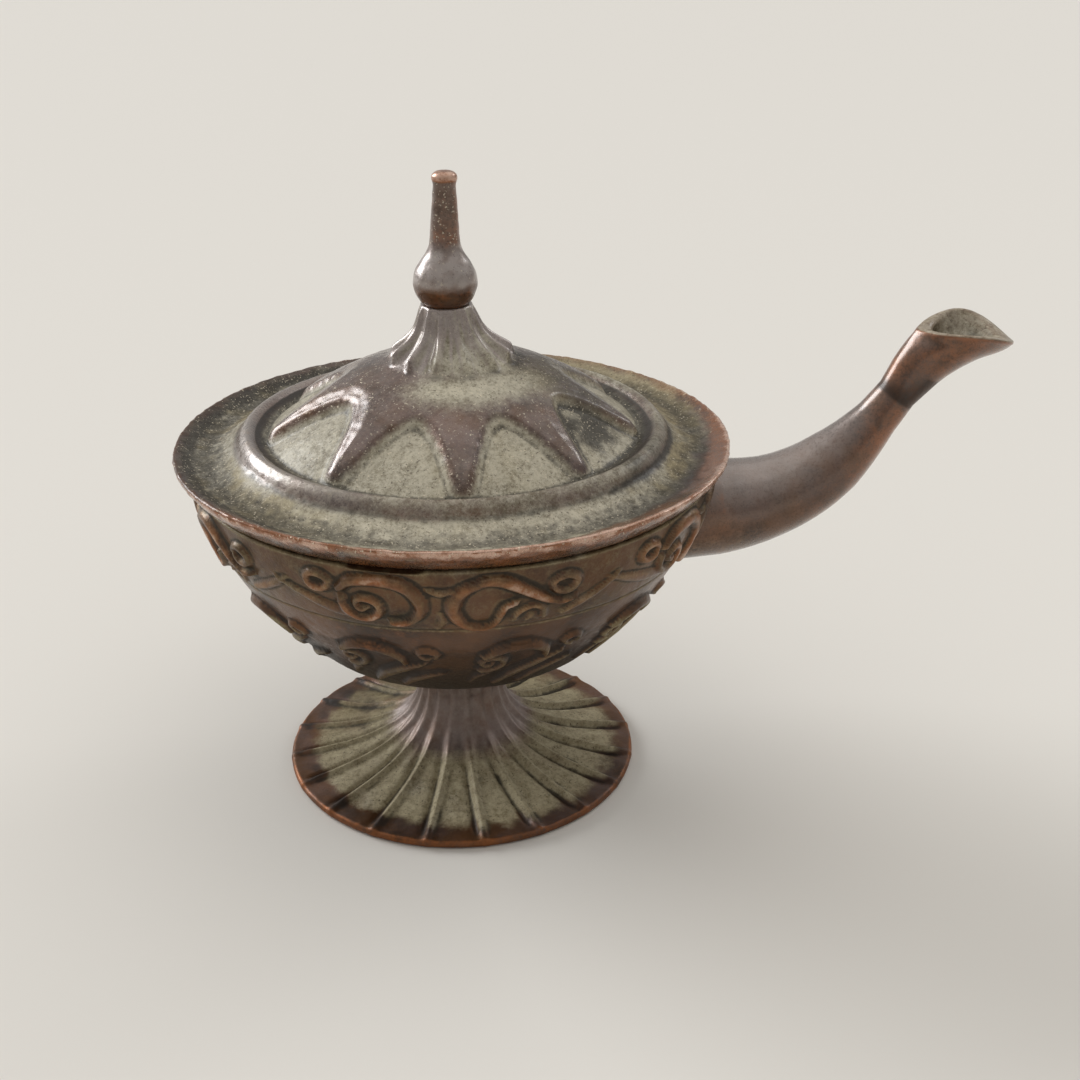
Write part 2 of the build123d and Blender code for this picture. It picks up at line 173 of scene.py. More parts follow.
def volume(mesh):
    """Signed volume inside a mesh."""
    mesh.calc_loop_triangles()
    corners = np.empty(len(mesh.loop_triangles) * 3, int)
    mesh.loop_triangles.foreach_get("vertices", corners)
    a, b, c = (points_of(mesh)[corners[k::3]] for k in range(3))
    return (a * np.cross(b, c)).sum() / 6


def new_object(name, data):
    """A new object in the scene."""
    thing = bpy.data.objects.new(name, data)
    bpy.context.collection.objects.link(thing)
    return thing


def shell(name, rings, closed=True):
    """A smooth, watertight mesh from rings of points in millimetres, its faces turned outwards."""
    faces = ring_faces([len(one) for one in rings], closed)
    mesh = bpy.data.meshes.new(name)
    mesh.from_pydata((np.concatenate(rings) * MM).tolist(), [], faces)
    if volume(mesh) < 0:
        mesh.flip_normals()
    mesh.polygons.foreach_set("use_smooth", np.ones(len(mesh.polygons), bool))
    mesh.update()
    return new_object(name, mesh)


def cavity(mesh, passes):
    """How far each point lies under its surroundings, in millimetres; ridges are negative."""
    points = points_of(mesh)
    count = len(points)
    ends = np.empty(len(mesh.edges) * 2, int)
    mesh.edges.foreach_get("vertices", ends)
    a, b = ends[0::2], ends[1::2]
    degree = np.bincount(a, minlength=count) + np.bincount(b, minlength=count)
    soft = points.copy()
    for _ in range(passes):
        total = [np.bincount(a, soft[b, k], count) + np.bincount(b, soft[a, k], count) for k in range(3)]
        soft = (soft + np.stack(total, axis=1) / degree[:, None]) / 2
    return ((soft - points) * points_of(mesh, "normal")).sum(axis=1) / MM


def mark(piece, **values):
    """Stores named values from 0 to 1 on a piece's points, for its material."""
    for name, value in values.items():
        layer = piece.data.attributes.new(name, "FLOAT", "POINT")
        layer.data.foreach_set("value", np.clip(value, 0, 1).astype(np.float32))


def polar(piece):
    """Radius, angle and height of a piece's points, in millimetres and degrees."""
    x, y, z = (points_of(piece.data) / MM).T
    return np.hypot(x, y), np.degrees(np.arctan2(y, x)), z


# Foot: a flared disc with raised ribs that run up into soft flutes on the neck

RIBS = 20
RIB_ANGLE = -84.0
RIB_WIDTH = 0.48
RIB_RISE_AT_EDGE, RIB_GAIN = 0.16, 0.3
GROOVE_DEPTH, GROOVE_WIDTH, GROOVE_SHIFT = 0.34, 0.5, 1.0
RIB_PANEL_DIP = 0.14
NECK_FLUTE = 0.2
FOOT_COLUMNS = 720
FOOT_TOP, FOOT_WEB = 19.0, 10.0
BOLT_HOLE = 1.65

foot_edge = spline([(25.2, 0.0), (25.48, 0.3), (25.5, 0.75), (25.25, 1.12)], 7)
foot_flare = even(bezier((25.25, 1.12), (14.0, 1.92), (6.78, 4.7), (6.0, 12.0), count=200), 0.36)
foot_neck = even(np.array([(6.0, 12.0), (6.0, 18.9)]), 0.7)
foot_profile = np.vstack([foot_edge, foot_flare[1:], foot_neck[1:]])
rib_turn = np.radians(repeat_turn(angles(FOOT_COLUMNS), RIB_ANGLE, RIBS))
foot_rings = []
for (radius, height), (in_r, in_z) in zip(foot_profile, normals_of(foot_profile)):
    apart = rib_turn * radius
    outer = ease(7.5, 13.0, radius)
    from_edge = ease(25.3, 22.5, radius)
    rib = (RIB_RISE_AT_EDGE + RIB_GAIN * from_edge) * bump(apart, RIB_WIDTH)
    rib = rib - GROOVE_DEPTH * from_edge * bump(apart + GROOVE_SHIFT, GROOVE_WIDTH)
    dip = RIB_PANEL_DIP * np.cos(rib_turn * RIBS / 2) ** 2 * outer
    flute = NECK_FLUTE * np.cos(rib_turn * RIBS) * (1 - outer)
    on_flare = ease(0.5, 1.3, height) * (1 - ease(16.5, 18.5, height))
    rise = (rib * outer - dip * (1 - bump(apart, 0.8)) + flute) * on_flare
    if height < 1.2:
        # The ribs still show a little on the rounded edge
        rise = rise + 0.06 * bump(apart, 0.7)
    foot_rings.append(ring(radius - in_r * rise, height - in_z * rise, FOOT_COLUMNS))
half, quarter, eighth = (FOOT_COLUMNS // k for k in (2, 4, 8))
foot_rings += [ring(5.8, FOOT_TOP, half), ring(BOLT_HOLE, FOOT_TOP, quarter)]
foot_rings += [ring(BOLT_HOLE, FOOT_WEB, eighth), ring(4.1, FOOT_WEB, eighth)]
under = even(bezier((4.3, 9.8), (5.0, 3.3), (12.0, 0.75), (22.9, 0.1), count=120), 1.0)
foot_rings += [ring(radius, height, eighth) for radius, height in under]
foot_rings += [ring(23.1, 0.0, quarter), ring(24.6, 0.0, half)]
foot = shell("foot_cast", foot_rings)


# Bowl: the turned form with two bands of scrollwork standing proud of it

SPOUT_HEIGHT = 38.5
PORT_RADIUS, PORT_COLUMNS = 4.7, 64
BOWL_COLUMNS = 880
BOWL_TOP, BOWL_FLOOR = 46.6, 20.6
BOWL_RIM_CHAMFER = 0.3
UPPER_REPEATS, UPPER_CENTRE, UPPER_RADIUS = 5, -94.0, 34.3
LOWER_REPEATS, LOWER_CENTRE = 10, -2.0
LINE_DOWN, LINE_DEPTH, LINE_WIDTH = 9.5, 0.16, 0.16
DENT_ANGLE, DENT_DEPTH, DENT_FADE = -104.5, 0.4, 0.4

bowl_side = bezier((34.9, BOWL_TOP), (34.6, 40.2), (30.3, 32.2), (22.15, 23.5), count=400)
bowl_belly = bezier((22.15, 23.5), (18.4, 19.5), (7.0, FOOT_TOP), count=300)
bowl_outer = np.vstack([bowl_side, bowl_belly[1:]])
inner_side = bezier((33.3, BOWL_TOP), (32.99, 40.2), (29.14, 33.3), (20.98, 24.59), count=200)
inner_belly = bezier((20.98, 24.59), (17.6, 21.09), (7.0, BOWL_FLOOR), count=150)
bowl_inner = np.vstack([inner_side, inner_belly[1:]])


def spiral(x, y, start, end, first, last, wide=1.0):
    """Points of a spiral about a centre, from one angle and radius to another."""
    count = 40
    angle = np.radians(np.linspace(start, end, count))
    radius = np.linspace(first, last, count)
    return np.stack([x + wide * radius * np.cos(angle), y + radius * np.sin(angle)], axis=1)


def stroke(points, widths, rise):
    """A raised stroke: its line, its half widths along the line, and its height."""
    line = spline(points, 12 * len(points))
    half = np.interp(np.linspace(0, 1, len(line)), np.linspace(0, 1, len(widths)), widths)
    return line, half, rise


def relief(across, down, strokes):
    """Height of a set of strokes over a grid of places, in millimetres."""
    height = np.zeros(across.shape)
    for line, half, rise in strokes:
        low = line.min(axis=0) - half.max()
        high = line.max(axis=0) + half.max()
        near = (across > low[0]) & (across < high[0]) & (down > low[1]) & (down < high[1])
        if not near.any():
            continue
        x, y = across[near], down[near]
        best = np.zeros(x.shape)
        for (ax, ay), (bx, by), wide_a, wide_b in zip(line, line[1:], half, half[1:]):
            dx, dy = bx - ax, by - ay
            t = np.clip(((x - ax) * dx + (y - ay) * dy) / (dx * dx + dy * dy + 1e-9), 0, 1)
            gap = np.hypot(x - ax - t * dx, y - ay - t * dy) / (wide_a + (wide_b - wide_a) * t)
            best = np.maximum(best, rise * np.clip(1 - gap**2, 0, 1) ** 0.5)
        height[near] = np.maximum(height[near], best)
    return height


def repeated_relief(across, down, wide, strokes):
    """Height of strokes that repeat at a width and may reach into the repeats beside them."""
    return np.maximum.reduce([relief(across - shift * wide, down, strokes) for shift in (-1, 0, 1)])


# Upper band, about the middle of one repeat: across is along the rim, down is from the rim
upper_strokes = [
    stroke(spiral(-14.9, 2.7, 20, 350, 1.05, 1.15, 1.35), [0.55, 0.6, 0.5], 0.75),
    stroke(spiral(-9.15, 5.45, 60, 560, 0.3, 2.55, 1.15), [0.4, 0.5, 0.62, 0.62], 0.8),
    stroke(
        [(-12.0, 3.1), (-10.2, 1.75), (-7.2, 1.3), (-4.4, 1.75), (-2.7, 3.3), (-2.15, 5.2), (-2.9, 6.9),
         (-4.5, 7.75), (-6.1, 7.7)],
        [0.5, 0.8, 1.0, 1.0, 0.95, 0.8, 0.65, 0.5, 0.3], 0.95,
    ),
    stroke([(-11.3, 7.2), (-14.5, 6.6), (-18.0, 5.4), (-21.6, 4.0)], [0.9, 0.95, 0.7, 0.2], 0.45),
    stroke([(-1.1, 2.5), (0.2, 2.95), (1.5, 2.6)], [0.3, 0.5, 0.3], 0.6),
    stroke(
        [(5.2, 1.5), (3.0, 2.5), (1.8, 4.4), (1.9, 6.5), (3.1, 8.1), (5.2, 8.75), (6.8, 8.1), (7.5, 6.6),
         (8.2, 5.3), (9.4, 4.8)],
        [0.6, 0.85, 0.95, 0.9, 0.65, 0.45, 0.4, 0.45, 0.4, 0.25], 0.9,
    ),
    stroke(
        [(3.6, 2.2), (5.4, 1.35), (7.3, 1.45), (9.4, 2.55), (11.5, 3.9), (13.3, 5.0), (15.0, 5.6),
         (17.0, 5.3)],
        [0.4, 0.75, 0.9, 0.9, 0.8, 0.65, 0.5, 0.2], 0.95,
    ),
    stroke(
        [(9.2, 8.2), (9.8, 6.7), (11.4, 5.9), (12.9, 6.8), (13.0, 8.2)], [0.3, 0.42, 0.45, 0.42, 0.3], 0.55
    ),
    stroke([(10.9, 8.3), (11.5, 7.5), (12.0, 8.3)], [0.35, 0.5, 0.35], 0.4),
    stroke(spiral(15.3, 3.1, 160, -170, 1.1, 1.2, 1.35), [0.55, 0.6, 0.5], 0.75),
    stroke([(15.6, 8.0), (18.3, 6.7), (20.9, 5.3), (23.2, 3.7)], [0.5, 0.7, 0.6, 0.2], 0.5),
    stroke([(-0.3, 8.9), (0.4, 7.6), (0.1, 6.2)], [0.3, 0.45, 0.2], 0.4),
]

# Lower band: a volute, two leaves and a curl in each repeat
lower_strokes = [
    stroke(spiral(-4.2, 17.6, 40, 470, 0.4, 2.2, 1.0), [0.4, 0.5, 0.6, 0.65], 0.7),
    stroke(
        [(-5.2, 15.6), (-2.6, 14.0), (0.4, 14.0), (2.6, 15.6), (3.0, 17.6)], [0.5, 0.85, 0.9, 0.7, 0.35], 0.95
    ),
    stroke([(-2.5, 24.6), (-0.4, 21.6), (2.6, 19.2), (5.6, 17.4)], [0.5, 0.95, 0.85, 0.25], 0.65),
    stroke([(0.8, 25.4), (2.8, 23.0), (5.2, 21.4), (7.4, 20.4)], [0.4, 0.75, 0.65, 0.2], 0.55),
    stroke([(-5.6, 24.0), (-5.0, 22.0), (-3.4, 20.6)], [0.35, 0.6, 0.3], 0.5),
    stroke(spiral(6.3, 15.0, 90, 400, 0.9, 0.95, 1.15), [0.45, 0.5, 0.4], 0.7),
]

# Rows of points, measured down from the rim, lie close together on the scrolls
rows = [np.linspace(0.45, 10.0, 46), np.linspace(10.4, 12.8, 6)[1:-1], np.linspace(12.8, 25.6, 41)]
rows = np.concatenate([[0.0, 0.12, 0.28], *rows, [26.6, 28.0, 30.0, 32.5, 35.5, 39.0, 42.5]])
side = resample(bowl_outer, rows)
side_radius, side_height = side[:, :1], side[:, 1:]
side_out = normals_of(side)
around = angles(BOWL_COLUMNS)
upper_turn = np.radians(repeat_turn(around, UPPER_CENTRE, UPPER_REPEATS))
lower_turn = np.radians(repeat_turn(around, LOWER_CENTRE, LOWER_REPEATS))
across, down = np.meshgrid(upper_turn * UPPER_RADIUS, rows)
upper_width = math.radians(360 / UPPER_REPEATS) * UPPER_RADIUS
lower_width = math.radians(360 / LOWER_REPEATS) * side_radius
bowl_rise = np.maximum(
    repeated_relief(across, down, upper_width, upper_strokes),
    repeated_relief(lower_turn * side_radius, down, lower_width, lower_strokes),
)
# The scrolls fade out where the spout is soldered on
spout_gap = np.hypot(np.radians(turn(around)) * side_radius, side_height - SPOUT_HEIGHT)
bowl_rise *= ease(6.6, 8.2, spout_gap)
# A thin cut line runs round under the upper band
bowl_rise -= LINE_DEPTH * bump(down - LINE_DOWN, LINE_WIDTH) * ease(7.0, 9.0, spout_gap)
for _ in range(2):
    bowl_rise = (2 * bowl_rise + np.roll(bowl_rise, 1, 1) + np.roll(bowl_rise, -1, 1)) / 4
dent_share = ease(9.0, 6.0, np.abs(turn(around - DENT_ANGLE)))
rim_dent = DENT_DEPTH * dent_share * np.exp(-rows[:, None] / DENT_FADE)
outer_radii = side_radius + side_out[:, :1] * bowl_rise
outer_heights = side_height + side_out[:, 1:] * bowl_rise - rim_dent
outer_radii[0] -= BOWL_RIM_CHAMFER
half, quarter, eighth = (BOWL_COLUMNS // k for k in (2, 4, 8))
bowl_rings = [ring(33.3, 46.45, quarter), ring(33.45, BOWL_TOP, quarter), ring(33.9, BOWL_TOP, half)]
bowl_rings += [ring(radius, height, BOWL_COLUMNS) for radius, height in zip(outer_radii, outer_heights)]
bowl_rings += [ring(7.0, FOOT_TOP, half), ring(3.5, FOOT_TOP, quarter), ring(BOLT_HOLE, FOOT_TOP, eighth)]
bowl_rings += [ring(BOLT_HOLE, BOWL_FLOOR, eighth), ring(4.3, BOWL_FLOOR, eighth)]
inside = even(bowl_inner, 1.5)[::-1]
bowl_rings += [ring(radius, height, eighth if radius < 12 else quarter) for radius, height in inside[:-1]]
bowl = shell("bowl_cast", bowl_rings)


def cut_port(piece, radius, height, low, high):
    """Cuts a round hole along +X through one wall of a piece, from low to high."""
    circle = np.radians(angles(PORT_COLUMNS))
    y, z = radius * np.cos(circle), height + radius * np.sin(circle)
    ends = [np.stack([np.full(PORT_COLUMNS, x), y, z], axis=1) for x in (low, high)]
    cutter = shell("port_cutter", ends, closed=False)
    cut = piece.modifiers.new("port", "BOOLEAN")
    cut.operation = "DIFFERENCE"
    cut.object = cutter
    graph = bpy.context.evaluated_depsgraph_get()
    mesh = bpy.data.meshes.new_from_object(piece.evaluated_get(graph))
    piece.modifiers.clear()
    piece.data = mesh
    bpy.data.objects.remove(cutter)


cut_port(bowl, PORT_RADIUS, SPOUT_HEIGHT, low=28.0, high=37.0)


# Spout: a tapering tube that rises to a leaf-shaped mouth with a pointed lip

SPOUT_COLUMNS = 96
SPOUT_STEPS, MOUTH_STEPS = 200, 100
SPOUT_WALL, MOUTH_WALL = 1.2, 1.05
BACK_WALL_SHARE, LIP_WALL_SHARE = 2.2, 2.4
BORE_RADIUS, BORE_START = 3.5, 38.8
PLUG_RADIUS = 4.6
spout_line = bezier((31.81, 38.48), (52.09, 37.65), (56.94, 49.13), (66.16, 62.48), count=SPOUT_STEPS + 1)
spout_radii = np.interp(
    np.linspace(0, 1, SPOUT_STEPS + 1), [0, 0.25, 0.5, 0.6, 0.7, 0.8], [7.4, 5.83, 4.62, 3.82, 3.05, 2.75]
)
spout_around = np.radians(angles(SPOUT_COLUMNS))
# Back edge, lip, half width, arch and skew of the mouth, from the throat up to the rim
mouth_rows = [
    ((59.75, 58.75), (65.6, 55.75), 3.0, 0.0, 0.0),
    ((60.75, 60.6), (68.0, 57.75), 3.45, 0.15, 0.15),
    ((61.6, 62.0), (71.1, 59.65), 4.2, 0.5, 0.45),
    ((62.25, 63.0), (74.5, 61.0), 5.0, 1.0, 0.8),
    ((62.8, 63.8), (76.0, 62.2), 5.9, 1.5, 1.0),
]
mouth_line = spline([[*back, *lip, *rest] for back, lip, *rest in mouth_rows], MOUTH_STEPS + 1)


def tube_section(share, inset):
    """A round section square to the spout's path; its points start at the back edge."""
    k = round(share * SPOUT_STEPS)
    along = spout_line[min(k + 1, SPOUT_STEPS)] - spout_line[max(k - 1, 0)]
    along /= np.linalg.norm(along)
    back = np.array([-along[1], along[0]])
    radius = spout_radii[k] - inset
    across = spout_line[k] + np.outer(radius * np.cos(spout_around), back)
    return np.stack([across[:, 0], radius * np.sin(spout_around), across[:, 1]], axis=1)


def mouth_section(back, lip, half_width, arch, skew, inset):
    """A section of the mouth from its back edge to its lip, its sides arched upwards."""
    along = (lip - back) / np.linalg.norm(lip - back)
    back, lip = back + along * inset * BACK_WALL_SHARE, lip - along * inset * LIP_WALL_SHARE
    share = (1 - np.cos(spout_around)) / 2
    # A skewed section is broadest beyond its middle, towards the lip
    rise, fall = 0.5 + 0.2 * skew, 0.5 - 0.02 * skew
    taper = share**rise * (1 - share) ** fall
    taper /= (rise / (rise + fall)) ** rise * (fall / (rise + fall)) ** fall
    lift = np.array([along[1], -along[0]]) * -arch
    # One side of the mouth stands a little higher than the other
    left_or_right = np.sign(np.sin(spout_around))
    high = 1 + 0.25 * skew * left_or_right
    middle = back + np.outer(share, lip - back) + np.outer(high * taper**2, lift)
    wide = left_or_right * (half_width - inset) * taper
    return np.stack([middle[:, 0], wide, middle[:, 1]], axis=1)


def mouth_at(share, inset):
    """A section of the mouth at a share of the way from the throat to the rim."""
    row = mouth_line[round(share * MOUTH_STEPS)]
    return mouth_section(row[0:2], row[2:4], *row[4:], inset)


def port_circle(radius):
    """A circle about the spout's port; its points start at the top."""
    y, z = radius * np.sin(spout_around), SPOUT_HEIGHT + radius * np.cos(spout_around)
    return np.stack([np.zeros(SPOUT_COLUMNS), y, z], axis=1)


def wall_radius(outline, offset=0.0):
    """A function that gives the radius of a bowl outline at any height, plus an offset."""
    order = np.argsort(outline[:, 1])
    return lambda height: np.interp(height, outline[order, 1], outline[order, 0]) + offset


def onto_wall(section, radius_at):
    """Moves a section along X onto the bowl's wall."""
    x = np.sqrt(radius_at(section[:, 2]) ** 2 - section[:, 1] ** 2)
    return np.stack([x, section[:, 1], section[:, 2]], axis=1)


outer_wall, inner_wall = wall_radius(bowl_outer), wall_radius(bowl_inner)
sunk_wall, proud_wall = wall_radius(bowl_outer, -0.5), wall_radius(bowl_outer, 0.25)
spout_rings = [onto_wall(port_circle(radius), inner_wall) for radius in (BORE_RADIUS, PLUG_RADIUS)]
spout_rings += [onto_wall(port_circle(PLUG_RADIUS), sunk_wall), onto_wall(tube_section(0, 0), sunk_wall)]
spout_rings.append(onto_wall(tube_section(0, -0.12), proud_wall))
spout_rings += [tube_section(share, 0) for share in np.linspace(0.085, 0.8, 60)]
spout_rings += [mouth_at(share, 0) for share in np.linspace(0.08, 0.97, 24)]
mouth_rim = len(spout_rings)
# Over the rounded rim, then down the inside
for inset, lift in ((0.08, 0.14), (0.3, 0.26), (0.6, 0.28), (0.85, 0.16), (1.0, -0.1)):
    spout_rings.append(mouth_at(1, inset) + (0, 0, lift))
for share in np.linspace(0.93, 0.05, 18):
    spout_rings.append(mouth_at(share, MOUTH_WALL) + (0, 0, 0.4 * (1 - share)))
spout_rings += [tube_section(share, SPOUT_WALL) for share in np.linspace(0.78, 0.12, 30)]
spout_rings.append(port_circle(BORE_RADIUS) + (BORE_START, 0, 0))
spout = shell("spout_cast", spout_rings)


# Lid: a dished deck, a bead, a dome of raised arms between arched panels, and a fluted cone

LID_COLUMNS = 640
LID_SEAT, LID_CEILING = 46.75, 59.45
CONE_TOP, CONE_FOOT = 68.65, (8.4, 61.2)
ARMS, ARM_ANGLE, ARM_DRIFT = 9, -89.2, 1.6
ARM_TIP_WIDTH, ARM_TIP_RADIUS, ARM_CROWN = 1.9, 25.1, 0.3
PANEL_OUTER, PANEL_LENGTH, PANEL_DEPTH = 25.9, 10.5, 1.15
FLUTES, FLUTE_ANGLE = 13, -103.7
HEM_RADIUS, HEM_RISE = 7.8, 0.38

cone = even(bezier((3.35, CONE_TOP), (4.3, 64.1), CONE_FOOT, count=120), 0.34)
dome = even(bezier(CONE_FOOT, (17.2, 58.0), (26.0, 52.0), count=200), 0.29)
bead = [(26.0, 52.0), (26.35, 51.75), (26.9, 52.2), (27.7, 52.58), (28.6, 51.9), (29.3, 50.85), (30.2, 50.2)]
bead = even(spline(bead, 60), 0.33)
deck = [(30.2, 50.2), (31.6, 49.5), (33.4, 49.1), (35.1, 49.45), (36.4, 50.05), (36.95, 50.33)]
deck = even(spline(deck, 60), 0.5)
lid_rim = spline([(36.95, 50.33), (37.28, 50.36), (37.5, 50.15), (37.42, 49.7)], 8)
band = even(spline([(37.42, 49.7), (36.85, 48.9), (35.8, 47.75), (35.0, 47.05), (34.75, 46.9)], 40), 0.4)
crown = np.vstack([cone, dome[1:]])
# The crease between cone and dome is smoothed away
crease = (np.abs(crown[:, 0] - CONE_FOOT[0]) < 2.2)[1:-1, None]
for _ in range(24):
    crown[1:-1] = np.where(crease, (crown[:-2] + 2 * crown[1:-1] + crown[2:]) / 4, crown[1:-1])
lid_profile = np.vstack([crown, bead[1:], deck[1:], lid_rim[1:], band[1:]])
around = angles(LID_COLUMNS)
# The arms and flutes aren't quite even, as on the real casting
arm_drift = ARM_DRIFT * np.cos(np.radians(2 * (around + 105)))
arm_turn = np.radians((around - ARM_ANGLE - arm_drift) % (360 / ARMS) - 180 / ARMS)
flute_depth = 0.62 + 0.2 * np.cos(np.radians(3 * around + 60))
flute_crest = (0.5 + 0.5 * np.cos(np.radians((around - FLUTE_ANGLE) * FLUTES))) ** 1.7
panel_corner = math.pi / ARMS - math.asin(ARM_TIP_WIDTH / 2 / PANEL_OUTER)
corner_run, corner_width = PANEL_OUTER * math.cos(panel_corner), PANEL_OUTER * math.sin(panel_corner)
panel_apex = PANEL_OUTER - PANEL_LENGTH
arch = bezier(
    (corner_run + 1.2, corner_width + 0.8),
    (corner_run - 0.46 * (corner_run - panel_apex), 0.7 * corner_width),
    (panel_apex, 0.32 * corner_width),
    (panel_apex, 0.0),
    count=60,
)


def inside_arch(x, y):
    """Distance inside a panel's arched edge, in plan; it is negative on the arms."""
    gap = np.hypot(x[:, None] - arch[:, 0], np.abs(y)[:, None] - arch[:, 1]).min(axis=1)
    within = np.abs(y) < np.interp(x, arch[::-1, 0], arch[::-1, 1], left=-1.0)
    return np.where(within, gap, -gap)


def arm_relief(radius):
    """Rise around one ring of the dome, and how much of each point lies in a panel."""
    edge = inside_arch(radius * np.cos(arm_turn), radius * np.sin(arm_turn))
    # The arms end in round tips, just short of the bead
    past_tip = radius - ARM_TIP_RADIUS
    edge = (edge + past_tip + np.sqrt((edge - past_tip) ** 2 + 1.4)) / 2
    in_panel = ease(-0.7, 1.4, edge) * ease(26.3, 25.8, radius)
    arm = ARM_CROWN * ease(-0.4, -2.6, edge) * ease(9.0, 13.5, radius)
    return arm - PANEL_DEPTH * in_panel, in_panel


def flute_relief(radius, height):
    """Rise around one ring of the cone: flutes that deepen towards a raised hem and end there in toes."""
    deepen = 0.65 + 0.95 * ease(4.2, 7.4, radius)
    hem_edge = HEM_RADIUS + 0.5 * (flute_crest - 0.4) * flute_depth
    on_hem = ease(hem_edge + 0.85, hem_edge - 0.75, radius)
    hem = HEM_RISE * ease(4.2, 6.9, radius) * on_hem
    return hem + flute_depth * deepen * (flute_crest - 0.35) * on_hem * ease(68.9, 67.2, height)


half, quarter = LID_COLUMNS // 2, LID_COLUMNS // 4
lid_rings = [ring(BOLT_HOLE, CONE_TOP, quarter), ring(3.0, CONE_TOP, half)]
panel_rings = [np.zeros(quarter), np.zeros(half)]
for (radius, height), (out_r, out_z) in zip(lid_profile, normals_of(lid_profile)):
    rise, in_panel = np.zeros(LID_COLUMNS), np.zeros(LID_COLUMNS)
    if 9.0 < radius < 26.3 and height > 51.0:
        rise, in_panel = arm_relief(radius)
    if radius < 12.0:
        rise = rise + flute_relief(radius, height)
    panel_rings.append(in_panel)
    lid_rings.append(ring(radius + out_r * rise, height + out_z * rise, LID_COLUMNS))
lid_rings += [ring(34.6, LID_SEAT, half), ring(33.0, LID_SEAT, quarter), ring(29.9, LID_SEAT, quarter)]
hollow = even(np.array([(29.8, 47.75), (25.6, 49.75), (7.4, LID_CEILING)]), 2.2)
lid_rings += [ring(radius, height, quarter) for radius, height in hollow]
lid_rings.append(ring(BOLT_HOLE, LID_CEILING, quarter))
lid = shell("lid_cast", lid_rings)


# Finial: a drop-shaped ball under a thin rod with a burred head, on a threaded stud

FINIAL_COLUMNS = 96
STUD_RADIUS, STUD_END = 1.5, 55.75
THREAD_PITCH, THREAD_DEPTH = 0.5, 0.2
drop_points = [
    (2.95, CONE_TOP), (3.6, 69.45), (4.12, 70.75), (4.2, 71.75), (3.95, 73.0), (3.2, 74.35), (2.35, 75.6),
    (2.0, 76.9), (1.85, 78.6), (1.68, 81.2), (1.52, 83.7), (1.56, 84.4), (1.65, 84.85), (1.56, 85.3),
    (1.2, 85.65), (0.7, 85.78), (0.3, 85.8),
]
stud = even(np.array([(STUD_RADIUS, STUD_END), (STUD_RADIUS, 68.5)]), 0.11)
around = angles(FINIAL_COLUMNS)
finial_rings = [ring(1.1, STUD_END, FINIAL_COLUMNS)]
for radius, height in stud:
    helix = (height / THREAD_PITCH + around / 360) % 1
    depth = THREAD_DEPTH * np.abs(2 * helix - 1) * ease(61.0, 60.0, height)
    finial_rings.append(ring(radius - depth, height, FINIAL_COLUMNS))
finial_rings.append(ring(2.6, CONE_TOP, FINIAL_COLUMNS))
for radius, height in even(spline(drop_points, 400), 0.2):
    finial_rings.append(ring(radius, height, FINIAL_COLUMNS))
finial = shell("finial_cast", finial_rings, closed=False)


# Cast surfaces are never quite even: small swells and grain move the points along their normals

SWELL_SIZE, GRAIN_SIZE = 9.0, 1.1


def weather(piece, swell, grain, seed, keep):
    """Moves a piece's points along their normals by soft noise, where keep is 1."""
    mesh = piece.data
    points = points_of(mesh)
    normal = points_of(mesh, "normal")
    push = swell * rough(points / MM, SWELL_SIZE, seed) + grain * rough(points / MM, GRAIN_SIZE, seed + 1)
    move_points(mesh, points + normal * (push * keep * MM)[:, None])


def lean(piece):
    """Bends the cone and the finial a little to one side, as they stand on the real casting."""
    points = points_of(piece.data) / MM
    height = points[:, 2]
    points[:, 0] += 0.25 * ease(72, 86, height) - 0.6 * ease(60, 70, height)
    move_points(piece.data, points * MM)


radius, _, height = polar(foot)
weather(foot, 0.1, 0.03, 1, ease(0.4, 1.0, height) * ease(18.9, 18.0, height) * (radius > 4.5))
height = polar(bowl)[2]
weather(bowl, 0.1, 0.035, 3, ease(46.5, 46.0, height) * ease(20.7, 22.0, height))
reach = points_of(spout.data)[:, 0] / MM
weather(spout, 0.06, 0.02, 5, ease(35.5, 37.0, reach))
radius, _, height = polar(lid)
on_lid = ease(46.8, 47.4, height) * ease(68.6, 68.0, height) * (radius > 2.0)
weather(lid, 0.09, 0.035, 7, on_lid)
# Its rim is battered
weather(lid, 0.12, 0.1, 13, ease(35.6, 36.8, radius) * ease(47.4, 48.4, height))
height = polar(finial)[2]
weather(finial, 0.05, 0.06, 9, ease(68.9, 69.4, height))
lean(lid)
lean(finial)


# Nodes of materials and of the studio

def linear(red, green, blue):
    """A colour given in the usual 0 to 255 steps, as the shader takes it."""
    steps = [value / 255 for value in (red, green, blue)]
    return tuple(v / 12.92 if v <= 0.04045 else ((v + 0.055) / 1.055) ** 2.4 for v in steps) + (1.0,)


